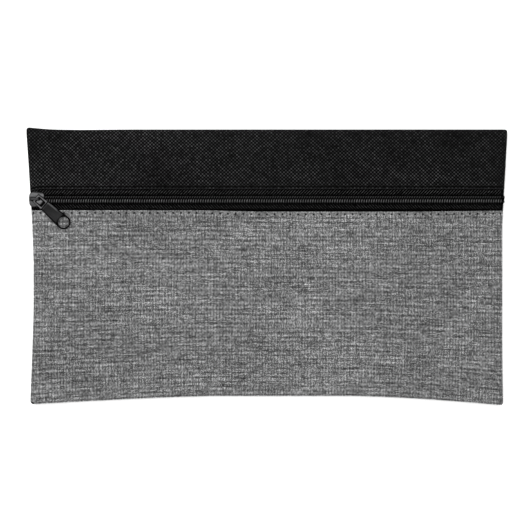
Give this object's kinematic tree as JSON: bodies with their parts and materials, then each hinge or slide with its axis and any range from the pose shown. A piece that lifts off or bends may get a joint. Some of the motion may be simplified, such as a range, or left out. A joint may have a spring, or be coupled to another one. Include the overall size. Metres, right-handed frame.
{
  "type": "pencil case",
  "caption": "Flat zipped pencil case: black cloth back and top band, grey heather front, coil zipper with slider and pull.",
  "frame": {"origin": "middle of the case's bounding box in plan, on the surface that the case's back lies on", "axes": "+X along the zipper from the closed end to the open end, +Y up the case from its bottom seam to its top fold, +Z out of its front"},
  "size_m": [0.2412, 0.1388, 0.0116],
  "materials": {
    "black_oxford_cloth": "matte black 600D polyester oxford with a basket weave",
    "grey_heather_cloth": "matte mid grey heather polyester with light and dark slubs",
    "zipper_tape": "black twill-woven polyester tape",
    "coil_nylon": "black nylon monofilament, slightly glossy",
    "sewing_thread": "black spun polyester thread",
    "sewing_thread_grey": "grey spun polyester thread",
    "slider_metal": "dark gunmetal lacquer on die-cast zinc"
  },
  "bodies": {
    "pouch": {"back_and_top_panel": "black_oxford_cloth", "front_lower_panel": "grey_heather_cloth", "zipper_tape_upper": "zipper_tape", "zipper_tape_lower": "zipper_tape", "zipper_coil_upper": "coil_nylon", "zipper_coil_lower": "coil_nylon", "coil_filler_cord_upper": "sewing_thread", "coil_filler_cord_lower": "sewing_thread", "coil_stitching_upper": "sewing_thread", "coil_stitching_lower": "sewing_thread", "topstitch_upper": "sewing_thread", "topstitch_lower": "sewing_thread_grey", "side_seam_thread_left": "sewing_thread", "side_seam_thread_right": "sewing_thread", "bottom_seam_thread": "sewing_thread"},
    "slider": {"slider_body": "slider_metal"},
    "pull": {"pull_tab": "slider_metal"}
  },
  "joints": [
    {"name": "slider_travel", "type": "slide", "parent": "pouch", "child": "slider", "axis": [1, 0, 0], "range_m": [0, 0.228]},
    {"name": "pull_lift", "type": "hinge", "parent": "slider", "child": "pull", "pos_m": [-0.11487, 0.03346, 0.00835], "axis": [-0.6561, -0.7547, 0], "range_deg": [0, 95]}
  ]
}
